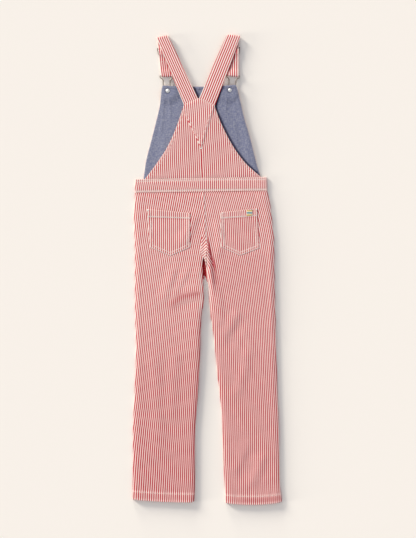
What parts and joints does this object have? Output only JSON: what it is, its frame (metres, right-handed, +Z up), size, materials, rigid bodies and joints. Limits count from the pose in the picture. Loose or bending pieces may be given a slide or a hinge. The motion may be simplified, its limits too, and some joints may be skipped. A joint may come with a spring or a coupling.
{
  "type": "dungarees",
  "caption": "Child's striped cotton dungarees laid flat with the back up: straight legs, seat pockets, pointed back bib, shoulder straps clipped to the lined front bib.",
  "frame": {"origin": "on the surface that the garment lies on, under the middle of its bounding box", "axes": "+Y from the hems to the shoulder straps, +X to the right of someone who looks down on the laid garment, +Z up from the surface"},
  "size_m": [0.345, 1.0806, 0.0087],
  "materials": {
    "striped_cotton": "matt woven cotton with narrow red and cream stripes along its grain",
    "chambray": "matt blue-grey chambray",
    "woven_tab": "matt woven ribbon with ochre, teal and cream bands",
    "nickel": "satin nickel plate",
    "bronzed_metal": "dark bronzed metal"
  },
  "bodies": {
    "root": {"front_leg_left": "striped_cotton", "front_leg_right": "striped_cotton", "back_leg_left": "striped_cotton", "back_leg_right": "striped_cotton", "waistband_front": "striped_cotton", "waistband_back": "striped_cotton", "bib_front": "striped_cotton", "bib_lining": "chambray", "bib_back_left": "striped_cotton", "bib_back_right": "striped_cotton", "bib_yoke": "striped_cotton", "pocket_left": "striped_cotton", "pocket_right": "striped_cotton", "pocket_tab": "woven_tab", "strap_left": "striped_cotton", "strap_right": "striped_cotton", "slider_left": "bronzed_metal", "slider_right": "bronzed_metal", "clip_left": "nickel", "clip_right": "nickel", "button_left": "nickel", "button_right": "nickel", "rivet_left": "nickel", "rivet_right": "nickel"}
  },
  "joints": []
}
